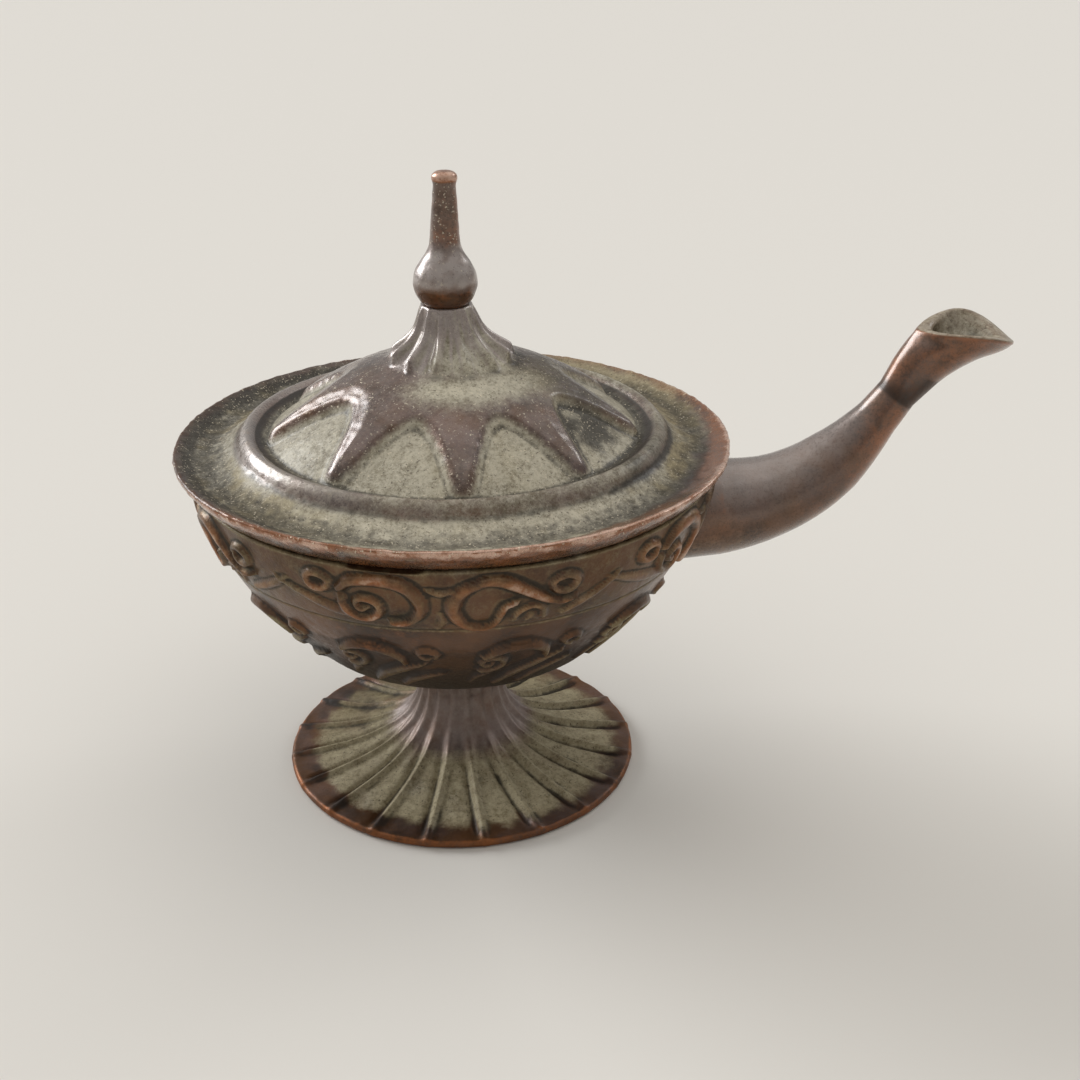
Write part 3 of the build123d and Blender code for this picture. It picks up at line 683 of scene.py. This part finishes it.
class Tree:
    """The nodes of a new material or world, added and linked in one step."""

    def __init__(self, owner):
        owner.use_nodes = True
        self.owner = owner
        self.nodes = owner.node_tree.nodes
        self.links = owner.node_tree.links

    def put(self, node, values):
        """Links a node's inputs, or sets their values, by name or number."""
        for key, value in values.items():
            if isinstance(value, bpy.types.NodeSocket):
                self.links.new(value, node.inputs[key])
            else:
                node.inputs[key].default_value = value

    def shade(self, values):
        """Links or sets the shader's inputs, by name; returns the material."""
        self.put(self.nodes["Principled BSDF"], values)
        return self.owner

    def add(self, kind, values, output=0, **settings):
        """A new node with its inputs given by name or number; returns one of its outputs."""
        node = self.nodes.new(kind)
        for name, value in settings.items():
            setattr(node, name, value)
        self.put(node, values)
        return node.outputs[output]

    def math(self, operation, a, b=0.0):
        return self.add("ShaderNodeMath", {0: a, 1: b}, operation=operation)

    def plus(self, a, b, factor):
        """One value plus another times a factor."""
        return self.math("ADD", a, self.math("MULTIPLY", b, factor))

    def ramp(self, value, low, high, bottom=0.0, top=1.0):
        """A smooth step of a value, from bottom to top."""
        values = {"Value": value, "From Min": low, "From Max": high, "To Min": bottom, "To Max": top}
        return self.add("ShaderNodeMapRange", values, interpolation_type="SMOOTHSTEP")

    def mix(self, share, one, two):
        return self.add("ShaderNodeMix", {0: share, 6: one, 7: two}, 2, data_type="RGBA")

    def noise(self, place, size, detail, seed, roughness=0.6):
        """Noise from 0 to 1 with features of a size in millimetres."""
        values = {"Vector": place, "W": float(seed), "Scale": 1 / size, "Detail": detail}
        values["Roughness"] = roughness
        return self.add("ShaderNodeTexNoise", values, noise_dimensions="4D")

    def attribute(self, name):
        return self.add("ShaderNodeAttribute", {}, "Fac", attribute_name=name)

    def millimetres(self):
        """Places on the piece, in millimetres."""
        place = self.add("ShaderNodeTexCoord", {}, "Object")
        return self.add("ShaderNodeVectorMath", {0: place, "Scale": 1 / MM}, operation="SCALE")


# Stage, light and camera

FLOOR_HALF, FLOOR_DROP = 4.0, 0.0001
corners = [(x * FLOOR_HALF, y * FLOOR_HALF, -FLOOR_DROP) for x, y in ((-1, -1), (1, -1), (1, 1), (-1, 1))]
floor_mesh = bpy.data.meshes.new("floor")
floor_mesh.from_pydata(corners, [], [(0, 1, 2, 3)])
floor = new_object("floor", floor_mesh)
pale_floor = Tree(bpy.data.materials.new("pale_floor"))
floor_finish = {"Base Color": (0.75, 0.72, 0.67, 1), "Roughness": 0.6, "Specular IOR Level": 0.1}
floor_mesh.materials.append(pale_floor.shade(floor_finish))

# A studio that is brighter overhead than towards the horizon
sky = Tree(bpy.data.worlds.new("studio"))
bpy.context.scene.world = sky.owner
upwards = sky.add("ShaderNodeSeparateXYZ", {0: sky.add("ShaderNodeTexCoord", {}, "Generated")}, "Z")
strength = sky.add("ShaderNodeMapRange", {"Value": upwards, "To Min": 0.32, "To Max": 0.7})
light = sky.nodes["Background"]
sky.put(light, {"Color": (1.0, 0.985, 0.96, 1), "Strength": strength})

# Seen directly, the studio's walls are as pale as the floor
walls = sky.add("ShaderNodeBackground", {"Color": (0.72, 0.69, 0.64, 1)})
seen = sky.add("ShaderNodeLightPath", {}, "Is Camera Ray")
either = sky.add("ShaderNodeMixShader", {0: seen, 1: light.outputs[0], 2: walls})
sky.put(sky.nodes["World Output"], {"Surface": either})


def soft_sun(name, place, colour, spread, strength):
    """A broad, even light from a place towards the lamp; its spread is in degrees."""
    lamp = bpy.data.lights.new(name, "SUN")
    lamp.angle = math.radians(spread)
    lamp.energy = strength
    lamp.color = colour
    sun = new_object(name, lamp)
    sun.location = place
    sun.rotation_euler = (-Vector(place)).to_track_quat("-Z", "Y").to_euler()


soft_sun("window", (-0.66, 0.46, 0.36), (0.96, 0.98, 1.0), 30, 2.0)
soft_sun("overhead", (0.1, 0.2, 0.9), (1.0, 0.98, 0.95), 70, 0.45)
soft_sun("far_window", (0.72, 0.5, 0.5), (0.96, 0.98, 1.0), 18, 0.32)

# A camera at the photograph's angle: its yaw, pitch and roll in degrees, its place in metres
FOCAL_PIXELS, FRAME_PIXELS, SENSOR_WIDTH = 1430, 1080, 36.0
CAMERA_TURN = (3.663, 25.194, -0.045)
CAMERA_PLACE = (0, -0.183345, 0.120360)
camera_data = bpy.data.cameras.new("camera")
camera_data.sensor_width = SENSOR_WIDTH
camera_data.lens = FOCAL_PIXELS / FRAME_PIXELS * SENSOR_WIDTH
camera = new_object("camera", camera_data)
yaw, pitch, roll = (math.radians(value) for value in CAMERA_TURN)
facing = Matrix.Rotation(-yaw, 4, "Z") @ Matrix.Rotation(math.pi / 2 - pitch, 4, "X")
facing = facing @ Matrix.Rotation(roll, 4, "Z")
camera.matrix_world = Matrix.Translation(CAMERA_PLACE) @ facing
bpy.context.scene.camera = camera
bpy.context.scene.view_settings.view_transform = "Standard"


# Materials: brown patina with plum patches, khaki dust in the hollows and copper where it is worn; the soot
# layer also carries painted shade, and the silvery layer painted highlights

DARK, BROWN, PLUM = linear(50, 34, 21), linear(104, 70, 42), linear(108, 90, 86)
# The soot colour also paints shade, and the pewter colour also paints highlights
SHADE_AND_SOOT, SHEEN_AND_PEWTER = linear(30, 25, 20), linear(166, 157, 152)
UMBER, OLIVE, KHAKI = linear(98, 85, 56), linear(164, 150, 110), linear(108, 100, 80)
DUST, PALE = linear(184, 178, 160), linear(206, 198, 176)
COPPER, BRIGHT = linear(136, 84, 48), linear(212, 178, 158)
SPECK = linear(218, 206, 182)


class Patina(Tree):
    """The layers of patinated bronze, which follow the values marked on a piece's points."""

    def __init__(self, name, uneven, seed):
        super().__init__(bpy.data.materials.new(name))
        self.uneven, self.seed = uneven, seed
        self.place = self.millimetres()
        self.middle = self.layer(1.9, 5.0, 1, 0.7)
        self.small = self.layer(0.5, 4.0, 2, 0.7)
        self.hollow = self.attribute("hollow")

    def layer(self, size, detail, step, roughness=0.6):
        """Noise over the piece; each step has a pattern of its own."""
        return self.noise(self.place, size, detail, self.seed + step, roughness)

    def blotched(self, value, by_middle, by_small):
        """A marked value made uneven by the two middle sizes of noise."""
        value = self.plus(value, self.math("SUBTRACT", self.middle, 0.5), by_middle * self.uneven)
        return self.plus(value, self.math("SUBTRACT", self.small, 0.5), by_small * self.uneven)

    def metal(self, plum):
        """Colour of the metal: brown with plum patches, copper where it is worn, and silvery where it is worn
        and where highlights are painted.
        """
        colour = self.mix(self.ramp(self.layer(9.0, 3.0, 0), 0.3, 0.7), DARK, BROWN)
        colour = self.mix(self.ramp(self.layer(5.0, 3.0, 4), 0.35, 0.7, 0, plum), colour, PLUM)
        colour = self.mix(self.ramp(self.small, 0.4, 0.7, 0, 0.35 * self.uneven), colour, BROWN)
        silvery = self.blotched(self.attribute("pewter"), 0.6, 0.4)
        # The silvery layer is worn metal, and painted highlights in places
        colour = self.mix(self.ramp(silvery, 0.05, 0.95, 0, 0.85), colour, SHEEN_AND_PEWTER)
        worn = self.plus(self.attribute("copper"), self.attribute("ridge"), 0.25)
        worn = self.blotched(worn, 1.3, 0.7)
        colour = self.mix(self.ramp(worn, 0.25, 0.9), colour, COPPER)
        return self.mix(self.ramp(worn, 0.85, 1.35, 0, 0.8), colour, BRIGHT)

    def cover(self, name, in_hollows, by_middle, low, top):
        """How much of a cover lies on the metal, with more of it in the hollows; one cover is dust, the other
        soot with painted shade.
        """
        value = self.plus(self.attribute(name), self.hollow, in_hollows)
        return self.ramp(self.blotched(value, by_middle, 0.5), low, 0.95, 0, top)

    def dust_grain(self):
        """Grain of the dust, in two sizes."""
        grain = self.math("ADD", self.layer(0.45, 6.0, 5, 0.8), self.layer(1.6, 7.0, 8, 0.75))
        return self.math("MULTIPLY", grain, 0.5)

    def dust(self, grain):
        """Colour of the dust: khaki, with olive patches, dark pits, and pale places that are partly painted
        light.
        """
        colour = self.mix(self.ramp(grain, 0.4, 0.6), KHAKI, DUST)
        patches = self.math("SUBTRACT", self.layer(4.5, 6.0, 7, 0.7), 0.5)
        patchy = self.ramp(self.plus(self.attribute("olive"), patches, 1.6), 0.0, 0.8, 0, 0.9)
        colour = self.mix(patchy, colour, self.mix(self.ramp(grain, 0.3, 0.7), UMBER, OLIVE))
        # Paler dust, partly painted light
        pale = self.math("MULTIPLY", self.attribute("pale"), self.ramp(grain, 0.3, 0.6))
        pits = self.ramp(self.layer(0.36, 3.0, 9, 0.75), 0.42, 0.34, 0, 0.75)
        return self.mix(pits, self.mix(pale, colour, PALE), DARK)

    def flecks(self):
        """Small pale flecks that lie on everything else."""
        flecks = self.ramp(self.layer(0.3, 1.0, 6), 0.63, 0.7)
        speckled = self.ramp(self.blotched(self.attribute("speckle"), 1.2, 0.0), 0.15, 0.7)
        return self.math("MULTIPLY", flecks, speckled)


def patina(name, roughness, lacquer, uneven, plum, seed):
    """Lacquered, patinated bronze under dust, soot with painted shade, and flecks, which dull it."""
    tree = Patina(name, uneven, seed)
    khaki = tree.cover("khaki", 0.2, 0.7, 0.2, 0.95)
    soot_and_shade_weight = tree.cover("soot", 0.75, 0.5, 0.25, 0.85)
    fleck, grain = tree.flecks(), tree.dust_grain()
    colour = tree.mix(khaki, tree.metal(plum), tree.dust(grain))
    # Soot and painted shade darken the colour here
    colour = tree.mix(soot_and_shade_weight, colour, SHADE_AND_SOOT)
    colour = tree.mix(tree.math("MULTIPLY", fleck, 0.75), colour, SPECK)
    dull = tree.plus(tree.math("MULTIPLY", khaki, 0.2), soot_and_shade_weight, 0.15)
    dull = tree.math("ADD", dull, tree.ramp(tree.small, 0.3, 0.7, roughness - 0.05, roughness + 0.1))
    covered = tree.math("MAXIMUM", khaki, soot_and_shade_weight)
    height = tree.math("MULTIPLY", tree.layer(0.18, 2.0, 3), 0.018)
    dust_height = tree.math("MULTIPLY", grain, 0.05)
    for layer, tall in ((tree.small, 0.03), (tree.middle, 0.05), (khaki, dust_height), (fleck, 0.03)):
        height = tree.plus(height, layer, tall)
    return tree.shade({
        "Base Color": colour,
        "Roughness": tree.plus(dull, fleck, 0.2),
        "Metallic": tree.ramp(covered, 0.0, 0.9, 0.75 - 0.5 * lacquer, 0.08),
        "Normal": tree.add("ShaderNodeBump", {"Strength": 1.0, "Distance": MM, "Height": height}),
        "Coat Weight": tree.ramp(covered, 0.0, 0.8, lacquer, 0.2 * lacquer),
        "Coat Roughness": 0.18,
        "Coat IOR": 1.6,
        "Specular IOR Level": 0.25,
    })


def stained(name, colour, metallic, roughness, seed):
    """Plain metal or rubber with stains and fine grain."""
    tree = Tree(bpy.data.materials.new(name))
    place = tree.millimetres()
    stain = tree.noise(place, 2.2, 4.0, seed)
    grain = tree.math("MULTIPLY", tree.noise(place, 0.18, 2.0, seed + 1), 0.02)
    darker = tuple(0.45 * value for value in colour[:3]) + (1.0,)
    return tree.shade({
        "Base Color": tree.mix(tree.ramp(stain, 0.35, 0.75), colour, darker),
        "Roughness": tree.ramp(stain, 0.3, 0.8, roughness, roughness + 0.2),
        "Metallic": metallic,
        "Normal": tree.add("ShaderNodeBump", {"Strength": 0.6, "Distance": MM, "Height": grain}),
    })


def mark_edges(piece, passes, scale, soot_and_shade_weight=1.0):
    """Marks how much each point stands out from, or lies under, its surroundings; returns the first."""
    ridge = -cavity(piece.data, passes) / scale
    mark(piece, ridge=ridge, hollow=-ridge * soot_and_shade_weight)
    return np.clip(ridge, 0, 1)


def towards(angle, middle, wide):
    """1 near a middle angle about the upright axis, falling to 0 at wide degrees from it."""
    return ease(wide, 0.3 * wide, np.abs(turn(angle - middle)))


def upward(piece):
    """How far each point's surface faces up, from 0 to 1; it places dust, and on the spout a painted
    highlight.
    """
    return np.clip(points_of(piece.data, "normal")[:, 2], 0, 1)


# Colours of the foot: dust between the ribs, soot towards the edge, painted shade on the far side and painted
# light on the other sides

radius, angle, height = polar(foot)
points = points_of(foot.data) / MM
patch, mottle = rough(points, 5.0, 21), rough(points, 2.2, 32)
top = ease(0.9, 1.6, height) * (radius > 4.5)
dark_side = towards(angle, -165, 100)
# Painted shade: the far side gets soot and less dust; painted light: the other sides get paler dust
far_side = towards(angle, 110, 95)
dusty_ring = ease(7.5, 13.0, radius)
dusty_ring *= ease(25.2, 22.4, radius + 0.9 * patch + 1.2 * mottle + 1.6 * dark_side)
sooty_ring = ease(21.2, 23.8, radius + 1.4 * patch + mottle)
stains = ease(0.1, 0.6, rough(points, 2.6, 27)) * ease(9, 14, radius)
mark_edges(foot, 14, 0.1)
mark(
    foot,
    khaki=top * (0.9 + 0.3 * patch - 0.2 * far_side) * dusty_ring,
    olive=0.8 + 0.3 * towards(angle, -20, 90) + 0.3 * far_side + 0.3 * patch,
    soot=top * (0.35 * far_side + (0.55 + 0.35 * dark_side) * sooty_ring + 0.3 * stains),
    copper=0.42 * ease(24.8, 25.3, radius) * (0.9 + 0.6 * patch),
    pale=0.28 * top * (1 - far_side),
    pewter=top * (0.32 * ease(14.0, 8.0, radius) + 0.15),
)


# Colours of the bowl: copper and dust on the scrolls, painted highlights of dust on their crests, and painted
# shade around the lower ones and under the belly, darkest at the front

radius, angle, height = polar(bowl)
points = points_of(bowl.data) / MM
patch, mottle = rough(points, 6.0, 22), rough(points, 2.2, 28)
stands_out = radius - outer_wall(height)
outside = ease(-1.0, -0.4, stands_out)
raised = np.clip(stands_out, 0, 1) * outside
upper = ease(36.5, 37.5, height) * outside
plain_band = bump(height - 35.3, 1.9) * outside
lower = ease(33.6, 32.6, height) * outside
underneath = ease(30, 24, height) * outside
sides = 1 - towards(angle, -95, 60)
crest = mark_edges(bowl, 10, 0.08)
# Dust on the crests is a painted highlight; on the lower scrolls the sides get more of it, also partly a
# painted highlight
upper_dust_and_highlight = 0.32 * (1 - raised) + 0.36 * crest
lower_dust_and_highlight = 0.35 * crest + (0.1 + 0.5 * sides) * raised
# Painted shade: the lower band and the belly underneath are darkened, most of all at the front
lower_soot = 0.6 * (1 - raised) + 0.3 * (1 - sides) * raised
scroll_copper = raised * (0.4 + 0.8 * patch + 0.7 * mottle)
mark(
    bowl,
    khaki=upper * upper_dust_and_highlight + lower * lower_dust_and_highlight + 0.25 * (1 - outside),
    olive=0.7 * outside,
    soot=0.1 * upper * (1 - raised) + lower * lower_soot + 0.5 * underneath * (1 - raised),
    copper=upper * (0.04 + scroll_copper) + 0.2 * plain_band * (1 + patch),
    speckle=0.05 * outside,
)


# Colours of the spout: copper towards the mouth, a painted silvery highlight on top, dusty and darker within

points = points_of(spout.data) / MM
patch = rough(points, 9.0, 23)
reach, height = points[:, 0], points[:, 2]
within = (np.arange(len(points)) >= mouth_rim * SPOUT_COLUMNS).astype(float)
upper = ease(46.0, 60.0, reach)
root = ease(48.0, 38.0, reach) * ease(41.0, 35.0, height)
facing_up = upward(spout)
mark_edges(spout, 10, 0.08)
mark(
    spout,
    khaki=0.36 * root * (1 - within) + 0.7 * within,
    olive=0.5 * (1 - within),
    soot=0.6 * within * ease(62.6, 59.0, height),
    # Painted highlight: faces that look up get the silvery layer and lose most of their copper
    copper=(0.14 + 0.5 * upper) * (0.9 + 1.1 * patch) * (1 - within) * (1 - 0.8 * facing_up) + 0.4 * within,
    pewter=((0.12 - 0.12 * upper) + 0.55 * facing_up) * (1 - within),
    speckle=0.08 + 0.3 * within,
    pale=0.25 * within,
)


# Colours of the lid: dust on the deck and panels, dark arms, a silvery cone and a copper rim; a painted
# highlight on the bead's left, painted shade on the left slope, and paler dust towards the front, partly
# painted light

DECK_LEVEL, BEAD_LEVEL = 48.8, 50.0
radius, angle, height = polar(lid)
points = points_of(lid.data) / MM
patch, mottle = rough(points, 6.5, 24), rough(points, 2.2, 30)
over = ease(46.8, 47.0, height)
facing_up = upward(lid)
front = towards(angle, -85, 60)
warm_side = towards(angle, -5, 115)
dull_side = towards(angle, 0, 60)
left_side = towards(angle, 175, 100)
ochre_side = towards(angle, 55, 55)
olive_side = towards(angle, 15, 75)
worn_side = towards(angle, -36, 48)

deck_edge = radius + 1.0 * patch + 0.9 * mottle - 1.4 * left_side - 1.1 * front + 2.0 * worn_side
deck_zone = ease(29.0, 30.4, radius) * ease(36.9, 33.3, deck_edge) * (height > DECK_LEVEL)
dark_deck = deck_zone * towards(angle, -132, 42) * (0.75 + 0.5 * patch)
deck_patches = deck_zone * ease(0.0, 0.5, rough(points, 3.5, 26))
bead_zone = bump(radius - 28.0, 1.6) * (height > BEAD_LEVEL)
bead_shade = bump(radius - 31.2, 1.0) * (height > DECK_LEVEL) * ease(-0.3, 0.5, patch)
bead_groove = bump(radius - 26.4, 0.6) * (height > 50.5) * (1 - 0.8 * towards(angle, 30, 45))
dull_ring = towards(angle, -24, 34) * ease(25.6, 26.4, radius) * ease(30.6, 28.8, radius)
dull_ring *= height > BEAD_LEVEL
slope_zone = ease(34.3, 36.1, radius + 0.6 * mottle + 1.5 * worn_side) * (facing_up > 0.3)
slope_wear = np.maximum(0.9 * worn_side, 0.75 * warm_side + 0.4 * front) * slope_zone
rim_zone = ease(36.8, 37.3, radius)
band_zone = over * ease(34.7, 35.1, radius) * (facing_up < 0.1)
band_wear = 0.28 + 0.2 * towards(angle, -45, 100) + 0.3 * patch + 0.35 * mottle

panel = np.concatenate(panel_rings)
panel = np.pad(panel, (0, len(points) - len(panel)))
# A dark spot in the middle of the panel at the right front
panel_dark_spot = panel * towards(angle, -30, 18) * bump(radius - 20.3, 3.6) * (1.05 + 0.5 * mottle)
arm_zone = (1 - panel) * (radius < 26) * (radius > 8.0) * over
arm_soot = 0.1 + 0.2 * warm_side + 0.35 * towards(angle, 15, 70)
dome_front = bump(radius - 11.0, 3.6) * (height > 57.0) * towards(angle, -70, 80)
hem_soot = bump(radius - 8.9, 0.5) * (height > 59.0) * (0.5 + patch)
cone_zone = ease(8.9, 7.6, radius + 0.8 * patch) * (height > 59.8)
around = np.radians(angle)
streaks = rough(np.stack([12 * np.cos(around), 12 * np.sin(around), 0.25 * height], axis=1), 1.0, 29)
cone_dust = 0.25 + 0.4 * patch + 0.55 * streaks + 0.2 * towards(angle, -60, 60)

mark_edges(lid, 14, 0.09, ease(6.0, 13.0, radius))
# Painted highlight: on the left the bead is silvery with less dust. Painted shade: the slope on the left is
# darkened. Painted light: the front deck, the dome's front and the front panels get paler dust.
mark(
    lid,
    khaki=over * (
        deck_zone * (0.95 + 0.35 * patch + 0.2 * front - 0.1 * dull_side) + panel * (1.0 + 0.25 * patch)
        + bead_zone * (0.75 + 0.25 * patch) * (1 - 0.5 * left_side) + dome_front
        + 0.35 * arm_zone * olive_side * (1 + patch) + 0.6 * slope_zone * ochre_side * (1 + 0.5 * patch)
        + cone_zone * cone_dust
    ),
    olive=over * (
        deck_zone * (0.4 * dull_side + 0.25 * towards(angle, 90, 60) + 0.8 * ochre_side)
        + 0.9 * slope_zone * ochre_side + 0.8 * arm_zone * olive_side
        + 0.25 * panel * towards(angle, -60, 75) + 0.6 * dark_deck + 0.5 * deck_patches
    ),
    soot=over * (
        arm_soot * arm_zone + 0.7 * slope_zone * left_side + 0.12 * bead_shade + panel_dark_spot
        + 0.25 * hem_soot + 0.45 * bead_groove + 0.62 * dull_ring * (0.9 + 0.4 * patch)
    ),
    copper=over * (
        band_zone * band_wear + 0.4 * rim_zone * (1 + 0.5 * patch + 0.4 * mottle)
        + slope_wear * (0.8 + 0.5 * patch)
    ),
    pewter=over * (0.7 * cone_zone + 0.25 * arm_zone + 0.3 * bead_zone * (1 + 1.4 * left_side)),
    speckle=over * (
        0.5 * arm_zone + 0.75 * rim_zone + 0.25 * slope_zone + 0.35 * cone_zone + 0.6 * panel
        + 0.55 * deck_zone
    ),
    pale=over * (
        0.9 * dome_front + panel * (0.2 + 0.4 * towards(angle, -70, 90)) + deck_zone * front
        + 0.2 * (slope_zone + deck_zone) * ochre_side
    ),
)


# Colours of the finial: a silvery ball, a browner rod and a copper head

points = points_of(finial.data) / MM
height = points[:, 2]
patch, mottle = rough(points, 3.0, 25), rough(points, 1.2, 33)
ball = ease(70.8, 72.2, height) * ease(77.5, 75.0, height)
head = ease(84.2, 85.0, height)
rod = ease(75.0, 77.5, height) * (1 - head)
mark_edges(finial, 8, 0.06)
mark(
    finial,
    khaki=0.1 + 0.1 * patch,
    soot=0.3 * ease(70.6, 69.4, height) * (height > 68.5),
    copper=1.2 * head + 0.35 * rod * (1 + patch) + 0.3 * ease(71.6, 70.4, height),
    pewter=ball * (0.75 + 0.4 * mottle) + 0.3 * rod,
    speckle=0.65 * rod + 0.4 * ball,
)


# Materials and bodies; each finish has its roughness, lacquer, unevenness, plum and seed

for piece, body, node, roughness, lacquer, uneven, plum, seed in (
    (foot, "base", "foot", 0.5, 0.1, 1.0, 0.5, 11),
    (bowl, "base", "bowl", 0.33, 0.25, 1.0, 0.12, 31),
    (spout, "base", "spout", 0.28, 0.75, 0.8, 0.35, 51),
    (lid, "lid", "lid", 0.26, 0.6, 1.0, 0.6, 71),
    (finial, "lid", "finial", 0.3, 0.5, 1.0, 0.5, 91),
):
    piece.data.materials.clear()
    piece.data.materials.append(patina(node + "_patina", roughness, lacquer, uneven, plum, seed))
    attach(piece, body)
    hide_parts(node)

skirt_finish = patina("skirt_patina", 0.42, 0.1, 1.0, 0.4, 111)
steel_finish = stained("fastener_steel", linear(150, 148, 142), 0.9, 0.32, 131)
seal_finish = stained("seal_rubber", linear(48, 44, 40), 0.0, 0.6, 141)
finishes = {"lid_skirt": skirt_finish, "seal_washer": seal_finish}
for node in ("stem_bolt", "stem_washer", "stem_nut", "finial_washer", "finial_nut"):
    finishes[node] = steel_finish
for node, finish in finishes.items():
    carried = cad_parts[node]
    carried.data.materials.clear()
    carried.data.materials.append(finish)
